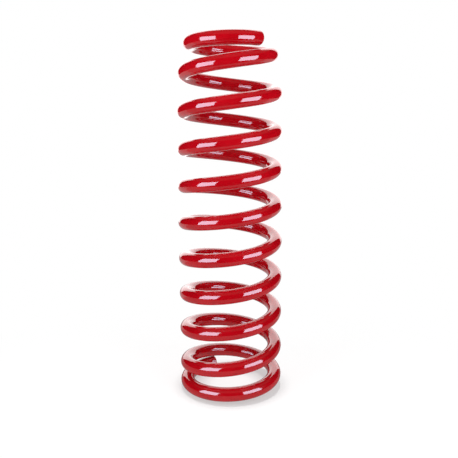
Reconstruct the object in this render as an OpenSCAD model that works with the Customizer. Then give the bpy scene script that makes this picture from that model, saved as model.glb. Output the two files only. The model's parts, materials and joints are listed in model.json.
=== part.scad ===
// Coil spring for a vehicle strut: one round steel bar wound right-handed into a
// cylinder, with both ends closed and left unground. +Z is up along the coil axis,
// the origin is on that axis at the level where the lower end coil rests.
//
// The bar is divided into quarter turns at upright planes through the coil axis, so
// that the spring can close up: each quarter slides straight down past the next one.

/* [Bar] */
// Diameter of the bar over its coating
bar_d = 14; // [8:0.5:17]
// Chamfer round both cut ends of the bar
end_chamfer = 1.6; // [0.5:0.1:3]

/* [Coil] */
// Diameter of the body coils at the bar's centre line
mean_d = 91; // [70:1:130]
// Rise of one active turn
pitch = 37; // [29:0.5:50]
// Number of turns, counted from the first cut and without the last half turn
turns = 10; // [5:1:13]

/* [Ends] */
// How far the lower tip reaches past the first cut, in degrees
lower_tip_angle = 22; // [8:1:40]
// How far the upper tip reaches past the last quarter turn, in degrees
upper_tip_angle = 5; // [0:1:20]
// Gap between the lower tip and the coil over it
lower_tip_gap = 0.4; // [0.2:0.1:4]
// Gap between the upper tip and the level of the coil under it
upper_tip_gap = 2.6; // [0.2:0.1:4]
// How much nearer the axis the upper tip lies than the body coils do
upper_tuck = 9; // [0:0.5:12]
// Turns over which the upper end draws in by that amount
tuck_turns = 1.6; // [1:0.1:3]

/* [Running clearance] */
// Gap between two quarters that slide past each other
slide_gap = 0.06; // [0.04:0.01:0.2]

/* [Hidden] */
$fn = 96;
coat_red = [0.78, 0.04, 0.07];
quarter = 90;
// The cut planes stand halfway between the axes, so each quarter faces one side
first_cut = 135;
tip_at = first_cut - lower_tip_angle;
quarters = 4 * turns + 2;
// The end coils that sit in the spring seats are one turn each and stay rigid
end_quarters = 4;
turn_count = quarters / 4 + (lower_tip_angle + upper_tip_angle) / 360;
// Degrees by which a stretch is made too long before its planes trim it
trim_over = 7;
trim_reach = 1.2 * mean_d;
trim_height = 3 * bar_d + pitch;
// How far a cutter stands out past what it cuts
cut_spare = 2;

// Each end starts level at its tip, and its pitch grows evenly to the full one. It does
// so over as many turns as the bar needs to clear its own tip after one turn.
function ramp_turns(tip_gap) =
    let (share = (bar_d + tip_gap) / pitch)
    share <= 0.5 ? 1 / (2 * share) : 2 * (1 - share);
lower_ramp = ramp_turns(lower_tip_gap);
upper_ramp = ramp_turns(upper_tip_gap);
function climb(t, ramp) = pitch * (t < ramp ? t * t / (2 * ramp) : t - ramp / 2);
coil_rise = climb(turn_count / 2, lower_ramp) + climb(turn_count / 2, upper_ramp);

// Turns wound from the lower tip to an angle, and the centre line's height and radius there
function turns_at(angle) = (angle - tip_at) / 360;
function height_at(angle) =
    let (t = turns_at(angle))
    bar_d / 2 + (t < turn_count / 2 ? climb(t, lower_ramp)
                                    : coil_rise - climb(turn_count - t, upper_ramp));
function tuck_share(angle) = max(0, 1 - (turn_count - turns_at(angle)) / tuck_turns);
function radius_at(angle) = mean_d / 2 - upper_tuck * tuck_share(angle);

// Centre of the circle through three points of a plane (a * a is a squared length)
function centre_of(a, b, c) =
    let (d = 2 * (a.x * (b.y - c.y) + b.x * (c.y - a.y) + c.x * (a.y - b.y)))
    [(a * a * (b.y - c.y) + b * b * (c.y - a.y) + c * c * (a.y - b.y)) / d,
     (a * a * (c.x - b.x) + b * b * (a.x - c.x) + c * c * (b.x - a.x)) / d];

// Names go round the coil: each turn has a left, front, right and back quarter
sides = ["left", "front", "right", "back"];
function two_digits(n) = n < 10 ? str("0", n) : str(n);
function quarter_name(i) = str("coil_", two_digits(floor(i / 4) + 1), "_", sides[i % 4]);

// Cuts inside the two rigid end coils close face to face; the others leave room to slide
function is_sliding_cut(cut) = cut >= end_quarters && cut <= quarters - end_quarters;
function cut_gap(cut) = is_sliding_cut(cut) ? slide_gap / 2 : 0;

// A ring that takes the edge off a cut end; the bar comes up to it from below
module edge_cutter() {
    bar_r = bar_d / 2;
    rotate_extrude()
        polygon([[bar_r - end_chamfer, 0], [bar_r + cut_spare, -end_chamfer - cut_spare],
                 [bar_r + cut_spare, cut_spare], [bar_r - end_chamfer, cut_spare]]);
}

// A piece of bar bent to a level arc, cut square and chamfered where it is a tip
module bent_bar(centre, r, from, to, tip_low, tip_high) {
    low = tip_low ? from : from - trim_over;
    high = tip_high ? to : to + trim_over;
    translate([centre.x, centre.y, 0])
        difference() {
            rotate_extrude(angle = high - low, start = low)
                translate([r, 0])
                    circle(d = bar_d);
            if (tip_low)
                rotate([0, 0, low])
                    translate([r, 0, 0])
                        rotate([90, 0, 0])
                            edge_cutter();
            if (tip_high)
                rotate([0, 0, high])
                    translate([r, 0, 0])
                        rotate([-90, 0, 0])
                            edge_cutter();
        }
}

// The upright sector between two cut planes; each plane stands back by its gap
module sector(half, gap_low, gap_high) {
    linear_extrude(height = trim_height, center = true)
        intersection() {
            translate([0, gap_low / cos(half)])
                polygon([[0, 0], [trim_reach, -trim_reach * tan(half)], [trim_reach, trim_reach],
                         [0, trim_reach]]);
            translate([0, -gap_high / cos(half)])
                polygon([[0, 0], [0, -trim_reach], [trim_reach, -trim_reach],
                         [trim_reach, trim_reach * tan(half)]]);
        }
}

// The bar between two angles, as one arc in a plane that leans with the winding.
// Its ends and its tangent there meet those of the neighbouring stretches.
module stretch(from, to, gap_low = 0, gap_high = 0, tip_low = false, tip_high = false) {
    half = (to - from) / 2;
    r0 = radius_at(from);
    r1 = radius_at(to);
    lean = atan((height_at(to) - height_at(from)) / ((r0 + r1) * sin(half)));
    turned = atan(tan(half) * cos(lean));
    arc_r = (r0 + r1) / 2 * sin(half) / (sin(turned) * cos(lean));
    start_point = [r0 * cos(half), -r0 * sin(half) / cos(lean)];
    mid_point = [(r0 + r1) / 2 * cos(half) + arc_r * (1 - cos(turned)), 0];
    end_point = [r1 * cos(half), r1 * sin(half) / cos(lean)];
    centre = centre_of(start_point, mid_point, end_point);
    bend_r = norm(mid_point - centre);
    arc_from = atan2(start_point.y - centre.y, start_point.x - centre.x);
    arc_to = atan2(end_point.y - centre.y, end_point.x - centre.x);
    middle_height = height_at(from) + r0 * sin(half) * tan(lean);
    low_slack = tip_low ? trim_over : 0;
    high_slack = tip_high ? trim_over : 0;
    color(coat_red)
        translate([0, 0, middle_height])
            rotate([0, 0, (from + to) / 2])
                intersection() {
                    rotate([lean, 0, 0])
                        bent_bar(centre, bend_r, arc_from, arc_to, tip_low, tip_high);
                    rotate([0, 0, (high_slack - low_slack) / 2])
                        sector(half + (low_slack + high_slack) / 2, gap_low, gap_high);
                }
}

module lower_tip() {
    stretch(tip_at, first_cut, tip_low = true);
}

module coil_quarter(i) {
    from = first_cut + quarter * i;
    is_last = i == quarters - 1;
    to = from + quarter + (is_last ? upper_tip_angle : 0);
    stretch(from, to, cut_gap(i), cut_gap(i + 1), tip_high = is_last);
}

lower_tip();
for (i = [0:quarters - 1])
    coil_quarter(i);
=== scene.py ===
import json
import math

import bpy
from mathutils import Matrix, Vector


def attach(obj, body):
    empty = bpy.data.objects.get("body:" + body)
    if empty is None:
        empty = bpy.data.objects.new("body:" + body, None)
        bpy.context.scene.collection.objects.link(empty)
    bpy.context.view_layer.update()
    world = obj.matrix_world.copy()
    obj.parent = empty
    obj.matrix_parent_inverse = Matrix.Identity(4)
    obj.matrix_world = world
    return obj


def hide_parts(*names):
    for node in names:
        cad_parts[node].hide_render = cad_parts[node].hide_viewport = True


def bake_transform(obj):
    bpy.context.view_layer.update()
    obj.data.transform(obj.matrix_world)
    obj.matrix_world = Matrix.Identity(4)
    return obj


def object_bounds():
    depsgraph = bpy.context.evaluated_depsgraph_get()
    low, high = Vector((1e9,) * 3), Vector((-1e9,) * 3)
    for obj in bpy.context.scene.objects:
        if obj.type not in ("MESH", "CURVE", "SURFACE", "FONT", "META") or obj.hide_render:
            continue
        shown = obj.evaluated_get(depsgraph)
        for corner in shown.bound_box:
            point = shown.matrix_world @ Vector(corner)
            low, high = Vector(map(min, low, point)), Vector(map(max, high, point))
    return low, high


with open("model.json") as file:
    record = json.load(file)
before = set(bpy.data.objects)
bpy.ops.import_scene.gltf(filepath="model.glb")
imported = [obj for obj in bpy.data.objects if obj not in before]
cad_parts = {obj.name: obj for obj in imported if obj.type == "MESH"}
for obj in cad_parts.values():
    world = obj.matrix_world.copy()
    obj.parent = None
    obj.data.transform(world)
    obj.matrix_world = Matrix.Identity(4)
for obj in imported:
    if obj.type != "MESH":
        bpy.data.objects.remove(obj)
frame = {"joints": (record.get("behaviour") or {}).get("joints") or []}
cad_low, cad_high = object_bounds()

# ---------------------------------------------------------------------------
# Lower end coil: the first turn of the wound bar, from its cut tip. It is round
# spring steel, hot wound and hardened, then powder coated in gloss red all over.
# It is level at the tip, left unground, and sits in the lower spring seat.
# ---------------------------------------------------------------------------
bar_radius = 0.007
coil_radius = 0.0455
rise_per_turn = 0.037
lower_tip_angle = 113
first_cut = 135
upper_tip_angle = 3920
lower_tip_gap = 0.0004
upper_tip_gap = 0.0026
upper_tuck = 0.009
tuck_turns = 1.6
turns_wound = (upper_tip_angle - lower_tip_angle) / 360


def ramp_turns(tip_gap):
    """Turns over which an end's rise grows from nothing to the full one."""
    share = (2 * bar_radius + tip_gap) / rise_per_turn
    return 1 / (2 * share) if share <= 0.5 else 2 * (1 - share)


def climb(turns, ramp):
    """Height that the bar gains over so many turns from a tip."""
    return rise_per_turn * (turns * turns / (2 * ramp) if turns < ramp else turns - ramp / 2)


lower_ramp = ramp_turns(lower_tip_gap)
upper_ramp = ramp_turns(upper_tip_gap)
coil_rise = climb(turns_wound / 2, lower_ramp) + climb(turns_wound / 2, upper_ramp)


def bar_centre(angle):
    """The bar's centre line at an angle, in degrees round the coil from the first one."""
    turns = (angle - lower_tip_angle) / 360
    left = turns_wound - turns
    height = climb(turns, lower_ramp) if turns < left else coil_rise - climb(left, upper_ramp)
    radius = coil_radius - upper_tuck * max(0, 1 - left / tuck_turns)
    a = math.radians(angle)
    return Vector((radius * math.cos(a), radius * math.sin(a), bar_radius + height))


def bar_axes(angle):
    """Unit vectors square to each other: away from the coil's axis, upwards, and along the bar."""
    nudge = 0.05
    along = (bar_centre(angle + nudge) - bar_centre(angle - nudge)).normalized()
    a = math.radians(angle)
    outward = Vector((math.cos(a), math.sin(a), 0))
    outward = (outward - along * outward.dot(along)).normalized()
    return outward, outward.cross(along), along


# A ring of the bar is its angle, its radius, how far its normals lean along the bar in
# radians, and how far along the bar it stands ahead of its angle.
ring_step = 3
ring_sides = 40


def plain_rings(start, end):
    """Rings of full size from one angle to another."""
    count = math.ceil((end - start) / ring_step)
    return [(start + (end - start) * i / count, bar_radius, 0, 0) for i in range(count + 1)]


# The chamfer's curve is a straight bevel at a bulge of 1 and a quarter circle at 2
tip_chamfer = 0.0016
tip_steps = 9
tip_bulge = 1.3
face_rings = 7
face_dome = 0.00035


def tip_rings(angle, way):
    """Rings from the full bar out to a cut tip: a softened chamfer, then a barely domed face."""
    rings = []
    for i in range(tip_steps + 1):
        t = math.pi / 2 * i / tip_steps
        back = tip_chamfer * (1 - math.sin(t) ** (2 / tip_bulge))
        radius = bar_radius - tip_chamfer * (1 - math.cos(t) ** (2 / tip_bulge))
        lean = math.atan2(math.sin(t) ** (2 - 2 / tip_bulge), math.cos(t) ** (2 - 2 / tip_bulge))
        rings.append((angle, radius, way * lean, -way * back))
    rim = bar_radius - tip_chamfer
    for i in range(1, face_rings + 1):
        share = 1 - i / (face_rings + 0.5)
        ahead = face_dome * (1 - share * share)
        rings.append((angle, rim * share, way * math.pi / 2, way * ahead))
    return rings if way > 0 else rings[::-1]


def length_along(angle):
    """Length of bar wound up to an angle."""
    return coil_radius * math.radians(angle - lower_tip_angle)


def wind(name, rings, shares=None):
    """A closed stretch of bar through the rings. It is made straight, as the bar is before
    winding. Where it has shares, its rings first lie as far along the line from 0 to 1 as
    gives each one its share of the body's travel. Then it is wound to shape."""
    straight, places, normals = [], [], []
    for angle, radius, lean, ahead in rings:
        outward, upward, along = bar_axes(angle)
        centre = bar_centre(angle) + along * ahead
        for k in range(ring_sides):
            turn = 2 * math.pi * k / ring_sides
            side = outward * math.cos(turn) + upward * math.sin(turn)
            straight.append(
                (length_along(angle) + ahead, radius * math.cos(turn), radius * math.sin(turn))
            )
            places.append(centre + side * radius)
            normals.append(side * math.cos(lean) + along * math.sin(lean))
    faces = []
    for i in range(len(rings) - 1):
        for k in range(ring_sides):
            low, next_low = i * ring_sides + k, i * ring_sides + (k + 1) % ring_sides
            faces.append((low, low + ring_sides, next_low + ring_sides, next_low))
    top = (len(rings) - 1) * ring_sides
    faces.append(tuple(range(ring_sides)))
    faces.append(tuple(top + k for k in reversed(range(ring_sides))))
    end_normals = (-bar_axes(rings[0][0])[2], bar_axes(rings[-1][0])[2])

    mesh = bpy.data.meshes.new(name)
    if shares:
        line = [(0.5 - math.sin(math.asin(1 - 2 * s) / 3), 0, 0) for s in shares]
        mesh.from_pydata([p for p in line for _ in range(ring_sides)], [], faces)
    else:
        mesh.from_pydata(places, [], faces)
    laid_out = mesh.attributes.new("straight_bar", "FLOAT_VECTOR", "POINT")
    laid_out.data.foreach_set("vector", [x for p in straight for x in p])
    piece = bpy.data.objects.new(name, mesh)
    bpy.context.scene.collection.objects.link(piece)
    if shares:
        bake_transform(piece)
        mesh.vertices.foreach_set("co", [x for p in places for x in p])
    corners = [normals[v] for face in faces[:-2] for v in face]
    corners += [end_normals[0]] * ring_sides + [end_normals[1]] * ring_sides
    mesh.polygons.foreach_set("use_smooth", [True] * (len(faces) - 2) + [False] * 2)
    mesh.update()
    mesh.normals_split_custom_set(corners)
    return piece


# The finish, as shader groups that the bar and its cut faces share. Each reads the bar as it
# lies straight, so that the film's grain runs along the bar and stays with it.
def new_group(name, inputs, outputs):
    """A shader group with its named sockets, and its two end nodes."""
    group = bpy.data.node_groups.new(name, "ShaderNodeTree")
    for label, value in inputs.items():
        kind = "NodeSocketVector" if value is None else "NodeSocketFloat"
        socket = group.interface.new_socket(name=label, in_out="INPUT", socket_type=kind)
        if value is not None:
            socket.default_value = value
    for label in outputs:
        group.interface.new_socket(name=label, in_out="OUTPUT", socket_type="NodeSocketFloat")
    return group, group.nodes.new("NodeGroupInput"), group.nodes.new("NodeGroupOutput")


def noise_node(tree, source, scale, detail=2.0):
    """A noise texture on a vector socket; scale is a number or a socket."""
    noise = tree.nodes.new("ShaderNodeTexNoise")
    noise.inputs["Detail"].default_value = detail
    tree.links.new(source, noise.inputs["Vector"])
    if isinstance(scale, (int, float)):
        noise.inputs["Scale"].default_value = scale
    else:
        tree.links.new(scale, noise.inputs["Scale"])
    return noise.outputs["Fac"]


def math_node(tree, operation, *values, clamp=False):
    """A math node on sockets or numbers."""
    node = tree.nodes.new("ShaderNodeMath")
    node.operation = operation
    node.use_clamp = clamp
    for slot, value in zip(node.inputs, values):
        if isinstance(value, (int, float)):
            slot.default_value = value
        else:
            tree.links.new(value, slot)
    return node.outputs["Value"]


def range_node(tree, value, low, high, to_low=0.0, to_high=1.0):
    """Maps a value smoothly from one range to another."""
    node = tree.nodes.new("ShaderNodeMapRange")
    node.interpolation_type = "SMOOTHSTEP"
    tree.links.new(value, node.inputs["Value"])
    for label, number in (
        ("From Min", low), ("From Max", high), ("To Min", to_low), ("To Max", to_high)
    ):
        node.inputs[label].default_value = number
    return node.outputs["Result"]


# Orange peel: the soft waviness that a powder film keeps when it flows out in the oven
orange_peel, entry, leave = new_group(
    "orange_peel", {"Bar": None, "Waves": 320.0, "Fine share": 0.25}, ["Height"]
)
wave = noise_node(orange_peel, entry.outputs["Bar"], entry.outputs["Waves"], 1.0)
fine_scale = math_node(orange_peel, "MULTIPLY", entry.outputs["Waves"], 3.1)
fine = noise_node(orange_peel, entry.outputs["Bar"], fine_scale, 1.0)
fine = math_node(orange_peel, "MULTIPLY", fine, entry.outputs["Fine share"])
orange_peel.links.new(math_node(orange_peel, "ADD", wave, fine), leave.inputs["Height"])

# Film build: where the powder lies a little thicker, the red is deeper and glossier
film_build, entry, leave = new_group("film_build", {"Bar": None, "Patches": 38.0}, ["Thickness"])
patches = noise_node(film_build, entry.outputs["Bar"], entry.outputs["Patches"], 3.0)
film_build.links.new(range_node(film_build, patches, 0.32, 0.68), leave.inputs["Thickness"])

# Specks: dust nibs that were cured into the film, a few tenths of a millimetre across
specks, entry, leave = new_group("dust_specks", {"Bar": None, "Cells": 260.0}, ["Speck"])
cells = specks.nodes.new("ShaderNodeTexVoronoi")
specks.links.new(entry.outputs["Bar"], cells.inputs["Vector"])
specks.links.new(entry.outputs["Cells"], cells.inputs["Scale"])
near = range_node(specks, cells.outputs["Distance"], 0.03, 0.09, 1.0, 0.0)
lot = specks.nodes.new("ShaderNodeSeparateColor")
specks.links.new(cells.outputs["Color"], lot.inputs["Color"])
chosen = range_node(specks, lot.outputs["Red"], 0.90, 0.92)
specks.links.new(math_node(specks, "MULTIPLY", near, chosen), leave.inputs["Speck"])

# Handling rub: faint dulled streaks along the bar where it has lain against something
rub_marks, entry, leave = new_group("rub_marks", {"Bar": None, "Amount": 0.5}, ["Rub"])
stretched = rub_marks.nodes.new("ShaderNodeMapping")
stretched.inputs["Scale"].default_value = (60, 1500, 1500)
rub_marks.links.new(entry.outputs["Bar"], stretched.inputs["Vector"])
streaks = noise_node(rub_marks, stretched.outputs["Vector"], 1.0, 3.0)
streaks = range_node(rub_marks, streaks, 0.55, 0.75)
where = range_node(rub_marks, noise_node(rub_marks, entry.outputs["Bar"], 55.0), 0.56, 0.70)
rubbed = math_node(rub_marks, "MULTIPLY", streaks, where)
rubbed = math_node(rub_marks, "MULTIPLY", rubbed, entry.outputs["Amount"], clamp=True)
rub_marks.links.new(rubbed, leave.inputs["Rub"])


def coat_material(name, deep, bright, gloss, dull, peel, nib, rub):
    """Gloss red powder coat: its deep and bright red, roughness where glossy and where rubbed,
    the height of its peel and of its nibs in metres, and how much it is rubbed."""
    material = bpy.data.materials.new(name)
    material.use_nodes = True
    tree = material.node_tree
    shader = tree.nodes["Principled BSDF"]
    bar = tree.nodes.new("ShaderNodeAttribute")
    bar.attribute_name = "straight_bar"

    def effect(group, **values):
        node = tree.nodes.new("ShaderNodeGroup")
        node.node_tree = group
        tree.links.new(bar.outputs["Vector"], node.inputs["Bar"])
        for label, value in values.items():
            node.inputs[label].default_value = value
        return node.outputs[0]

    thickness = effect(film_build)
    speck = effect(specks)
    rubbed = effect(rub_marks, Amount=rub)
    red = tree.nodes.new("ShaderNodeMix")
    red.data_type = "RGBA"
    red.inputs[6].default_value = (*bright, 1)
    red.inputs[7].default_value = (*deep, 1)
    tree.links.new(thickness, red.inputs["Factor"])
    dusty = tree.nodes.new("ShaderNodeMix")
    dusty.data_type = "RGBA"
    tree.links.new(math_node(tree, "MULTIPLY", rubbed, 0.25), dusty.inputs["Factor"])
    tree.links.new(red.outputs[2], dusty.inputs[6])
    dusty.inputs[7].default_value = (0.42, 0.16, 0.15, 1)
    tree.links.new(dusty.outputs[2], shader.inputs["Base Color"])
    film_gloss = range_node(tree, thickness, 0.0, 1.0, gloss * 1.35, gloss)
    roughness = math_node(tree, "MULTIPLY_ADD", rubbed, dull - gloss, film_gloss)
    tree.links.new(roughness, shader.inputs["Roughness"])
    # Above a plain resin's 1.5, for the film's strong mirror
    shader.inputs["IOR"].default_value = 1.9
    ripples = tree.nodes.new("ShaderNodeBump")
    ripples.inputs["Distance"].default_value = peel
    tree.links.new(effect(orange_peel), ripples.inputs["Height"])
    nibs = tree.nodes.new("ShaderNodeBump")
    nibs.inputs["Distance"].default_value = nib
    tree.links.new(speck, nibs.inputs["Height"])
    tree.links.new(ripples.outputs["Normal"], nibs.inputs["Normal"])
    tree.links.new(nibs.outputs["Normal"], shader.inputs["Normal"])
    return material


red_powder_coat = coat_material(
    "red_powder_coat",
    deep=(0.500, 0.0010, 0.0065),
    bright=(0.560, 0.0020, 0.0090),
    gloss=0.055,
    dull=0.30,
    peel=0.000005,
    nib=0.000030,
    rub=0.45,
)
# The sheared face under the film is rougher, so the red lies duller and a shade lighter there
red_over_cut_face = coat_material(
    "red_over_cut_face",
    deep=(0.480, 0.0050, 0.0120),
    bright=(0.580, 0.0100, 0.0200),
    gloss=0.16,
    dull=0.40,
    peel=0.000060,
    nib=0.000060,
    rub=0.9,
)


def finish_piece(piece, node, cut_face_first=0, cut_face_count=0):
    """Coats a stretch of bar, with its cut face in the duller red, and lets it stand for its node."""
    piece.data.materials.append(red_powder_coat)
    if cut_face_count:
        piece.data.materials.append(red_over_cut_face)
        for face in piece.data.polygons[cut_face_first : cut_face_first + cut_face_count]:
            face.material_index = 1
    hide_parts(node)


sides = ("left", "front", "right", "back")


def quarter_name(quarter):
    """Names go round the coil: each turn has a left, front, right and back quarter."""
    return f"coil_{quarter // 4 + 1:02d}_{sides[quarter % 4]}"


def cut_angle(quarter):
    """The angle at which a quarter of a turn begins."""
    return first_cut + 90 * quarter


quarters = round((upper_tip_angle - first_cut) / 90)
end_quarters = 4
faces_on_tip = face_rings * ring_sides


def chamfer_angle(radius):
    """The angle that a tip's chamfer takes up where the coil has this radius, with some to spare."""
    spare = 1.2
    return spare * math.degrees(tip_chamfer / radius)


rings = tip_rings(lower_tip_angle, -1)
rings += plain_rings(lower_tip_angle + chamfer_angle(coil_radius), first_cut)
piece = wind("lower_tip_bar", rings)
finish_piece(piece, "lower_tip", 0, faces_on_tip)
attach(piece, "lower_end_coil")
for quarter in range(end_quarters):
    node = quarter_name(quarter)
    piece = wind(node + "_bar", plain_rings(cut_angle(quarter), cut_angle(quarter + 1)))
    finish_piece(piece, node)
    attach(piece, "lower_end_coil")

# ---------------------------------------------------------------------------
# Active coils: eight and a half turns of the same bar, free between the end coils.
# Each point of the bar is given its share of the travel when the spring is loaded,
# from how far it sinks between the fixed lower end and the body of the next quarter.
travel = {joint["child"]: joint["range_m"][1] for joint in frame["joints"]}
active = range(end_quarters, quarters - end_quarters)
sinks = [travel[quarter_name(quarter)] for quarter in active]
full_travel = travel["upper_end_coil"]
sink_at_cut = [0, *((a + b) / 2 for a, b in zip(sinks, sinks[1:])), full_travel]
slope_at_cut = [0, *((c - a) / 2 for a, c in zip(sink_at_cut, sink_at_cut[2:])), 0]


def sink(i, t):
    """How far the bar sinks at full travel, a share t of the way through active quarter i."""
    low, high = sink_at_cut[i], sink_at_cut[i + 1]
    smooth = low + (high - low) * t * t * (3 - 2 * t)
    return smooth + slope_at_cut[i] * t * (1 - t) ** 2 - slope_at_cut[i + 1] * t * t * (1 - t)


for i, quarter in enumerate(active):
    node = quarter_name(quarter)
    body = quarter_name(quarter + 1) if quarter + 1 in active else "upper_end_coil"
    rings = plain_rings(cut_angle(quarter), cut_angle(quarter + 1))
    steps = len(rings) - 1
    shares = [min(1, sink(i, k / steps) / travel[body]) for k in range(len(rings))]
    piece = wind(node + "_bar", rings, shares)
    finish_piece(piece, node)

# ---------------------------------------------------------------------------
# Upper end coil: the last turn, which sits under the upper spring seat. The bar
# draws in towards the axis here and levels off, and ends in the second cut tip.
# ---------------------------------------------------------------------------
for quarter in range(quarters - end_quarters, quarters):
    node = quarter_name(quarter)
    if quarter < quarters - 1:
        piece = wind(node + "_bar", plain_rings(cut_angle(quarter), cut_angle(quarter + 1)))
        finish_piece(piece, node)
    else:
        bar_end = upper_tip_angle - chamfer_angle(coil_radius - upper_tuck)
        rings = plain_rings(cut_angle(quarter), bar_end)
        first_face = (len(rings) + tip_steps) * ring_sides
        piece = wind(node + "_bar", rings + tip_rings(upper_tip_angle, 1))
        finish_piece(piece, node, first_face, faces_on_tip)
    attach(piece, "upper_end_coil")

# ---------------------------------------------------------------------------
# Studio: a white floor in a white room, with a soft box before the spring on either
# side. The gloss alone mirrors the boxes, white boards under it and a white backdrop.
# ---------------------------------------------------------------------------
scene = bpy.context.scene
scene.view_settings.view_transform = "Standard"


def flat_sheet(name, width, depth):
    """A level rectangle round its own middle."""
    x, y = width / 2, depth / 2
    mesh = bpy.data.meshes.new(name)
    mesh.from_pydata([(-x, -y, 0), (x, -y, 0), (x, y, 0), (-x, y, 0)], [], [(0, 1, 2, 3)])
    sheet = bpy.data.objects.new(name, mesh)
    scene.collection.objects.link(sheet)
    return sheet


def glow(name, colour, strength):
    """A surface that gives an even light."""
    material = bpy.data.materials.new(name)
    material.use_nodes = True
    tree = material.node_tree
    tree.nodes.clear()
    light = tree.nodes.new("ShaderNodeEmission")
    light.inputs["Color"].default_value = (*colour, 1)
    light.inputs["Strength"].default_value = strength
    out = tree.nodes.new("ShaderNodeOutputMaterial")
    tree.links.new(light.outputs["Emission"], out.inputs["Surface"])
    return material


def seen_in_gloss_only(panel):
    """A panel that shows in the coat's gloss and nowhere else."""
    panel.visible_camera = False
    panel.visible_diffuse = False
    panel.visible_shadow = False


# The floor's paper takes a shadow round the spring, and glows plain white further out
floor_size = 12
shadow_fades = (0.10, 0.32)
floor = flat_sheet("floor", floor_size, floor_size)
floor.location.z = cad_low.z
floor.visible_glossy = False
floor_paint = glow("floor_paint", (1, 1, 1), 1.0)
tree = floor_paint.node_tree
paper = tree.nodes.new("ShaderNodeBsdfDiffuse")
paper.inputs["Color"].default_value = (0.25, 0.25, 0.25, 1)
base_glow = tree.nodes.new("ShaderNodeEmission")
base_glow.inputs["Strength"].default_value = 0.50
lit = tree.nodes.new("ShaderNodeAddShader")
tree.links.new(paper.outputs[0], lit.inputs[0])
tree.links.new(base_glow.outputs[0], lit.inputs[1])
place = tree.nodes.new("ShaderNodeTexCoord")
reach = tree.nodes.new("ShaderNodeVectorMath")
reach.operation = "LENGTH"
tree.links.new(place.outputs["Object"], reach.inputs[0])
fade = tree.nodes.new("ShaderNodeMixShader")
tree.links.new(range_node(tree, reach.outputs["Value"], *shadow_fades), fade.inputs[0])
tree.links.new(lit.outputs[0], fade.inputs[1])
tree.links.new(tree.nodes["Emission"].outputs[0], fade.inputs[2])
tree.links.new(fade.outputs[0], tree.nodes["Material Output"].inputs["Surface"])
floor.data.materials.append(floor_paint)

# The near board lies under the spring, and the far one runs on back to the backdrop
board_width = 1.6
board_edges = (-0.25, 0.15, 1.15)
under_floor = 0.0005
warm_white = (1, 0.98, 0.98)
for name, near, far, strength in (
    ("near_board", board_edges[0], board_edges[1], 0.26),
    ("far_board", board_edges[1], board_edges[2], 0.50),
):
    board = flat_sheet(name, board_width, far - near)
    board.location = (0, (near + far) / 2, cad_low.z - under_floor)
    board.data.materials.append(glow(name + "_light", warm_white, strength))
    seen_in_gloss_only(board)

backdrop_height = 1.9
backdrop = flat_sheet("backdrop", board_width, backdrop_height)
backdrop.location = (0, board_edges[2], backdrop_height / 2)
backdrop.rotation_euler = (math.radians(90), 0, 0)
backdrop.data.materials.append(glow("backdrop_light", warm_white, 2.0))
seen_in_gloss_only(backdrop)

# Each soft box is mirrored where it hangs, and its light falls from a lamp above it
box_distance = 0.60
box_height = 0.29
box_size = (0.46, 0.50)
lamp_height = 0.62
lamp_tilt = math.radians(54)
soft_box_light = glow("soft_box_light", (0.72, 0.93, 1.15), 5.5)
for name, azimuth in (("left_soft_box", -51), ("right_soft_box", 46)):
    a = math.radians(azimuth)
    x, y = box_distance * math.sin(a), -box_distance * math.cos(a)
    box = flat_sheet(name, *box_size)
    box.location = (x, y, box_height)
    box.rotation_euler = (math.radians(90), 0, a)
    box.data.materials.append(soft_box_light)
    seen_in_gloss_only(box)

    lamp = bpy.data.lights.new(name + "_lamp", "AREA")
    lamp.shape = "RECTANGLE"
    lamp.size, lamp.size_y = box_size
    lamp.energy = 2.25
    fill = bpy.data.objects.new(name + "_lamp", lamp)
    fill.location = (x, y, lamp_height)
    fill.rotation_euler = (lamp_tilt, 0, a)
    fill.visible_glossy = False
    scene.collection.objects.link(fill)

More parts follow.
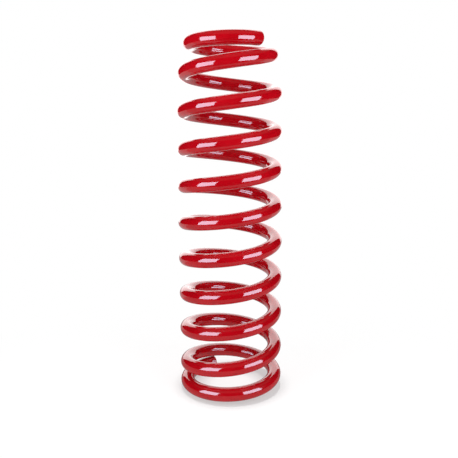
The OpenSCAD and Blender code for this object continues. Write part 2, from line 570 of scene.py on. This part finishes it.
# A light from straight above falls on the floor only, for the spring's soft grey shadow
shadow_light = bpy.data.lights.new("overhead_light", "SUN")
shadow_light.angle = math.radians(5)
shadow_light.energy = 4.5
lit_from_above = bpy.data.collections.new("lit_from_above")
lit_from_above.objects.link(floor)
overhead = bpy.data.objects.new("overhead_light", shadow_light)
overhead.location = (0, 0, 1.6)
overhead.visible_glossy = False
overhead.light_linking.receiver_collection = lit_from_above
scene.collection.objects.link(overhead)

# The room is white to the eye and gives an even soft light. In the coat's gloss it is dark,
# under a dim ceiling.
room = bpy.data.worlds.new("room")
scene.world = room
room.use_nodes = True
tree = room.node_tree
tree.nodes.clear()
kind = tree.nodes.new("ShaderNodeLightPath")


def room_light(colour, strength):
    """An even light from all round."""
    light = tree.nodes.new("ShaderNodeBackground")
    light.inputs["Color"].default_value = (*colour, 1)
    light.inputs["Strength"].default_value = strength
    return light.outputs["Background"]


def choose(factor, usual, other):
    """The usual light, and the other one as far as the factor says."""
    mix = tree.nodes.new("ShaderNodeMixShader")
    tree.links.new(factor, mix.inputs[0])
    tree.links.new(usual, mix.inputs[1])
    tree.links.new(other, mix.inputs[2])
    return mix.outputs["Shader"]


even = room_light((1, 1, 1), 0.33)
dark = room_light((0.9, 0.95, 1), 0.008)
ceiling = room_light((1, 0.95, 0.9), 0.11)
white = room_light((1, 1, 1), 1.0)
way = tree.nodes.new("ShaderNodeSeparateXYZ")
tree.links.new(tree.nodes.new("ShaderNodeTexCoord").outputs["Generated"], way.inputs[0])
mirrored = choose(range_node(tree, way.outputs["Z"], 0.55, 0.80), dark, ceiling)
seen = choose(kind.outputs["Is Glossy Ray"], even, mirrored)
seen = choose(kind.outputs["Is Camera Ray"], seen, white)
tree.links.new(seen, tree.nodes.new("ShaderNodeOutputWorld").inputs["Surface"])

# The camera stands close, a little below the top of the spring, and looks slightly down
camera_distance = 0.6247
camera_height = 0.2918
camera_pitch = math.radians(9.644)
camera_roll = math.radians(-0.30)
lens = bpy.data.cameras.new("camera")
lens.sensor_width = 36
lens.lens = 49.03
lens.shift_x = -0.00235
lens.shift_y = -0.0377
camera = bpy.data.objects.new("camera", lens)
camera.matrix_world = (
    Matrix.Translation((0, -camera_distance, camera_height))
    @ Matrix.Rotation(math.pi / 2 - camera_pitch, 4, "X")
    @ Matrix.Rotation(camera_roll, 4, "Z")
)
scene.collection.objects.link(camera)
scene.camera = camera
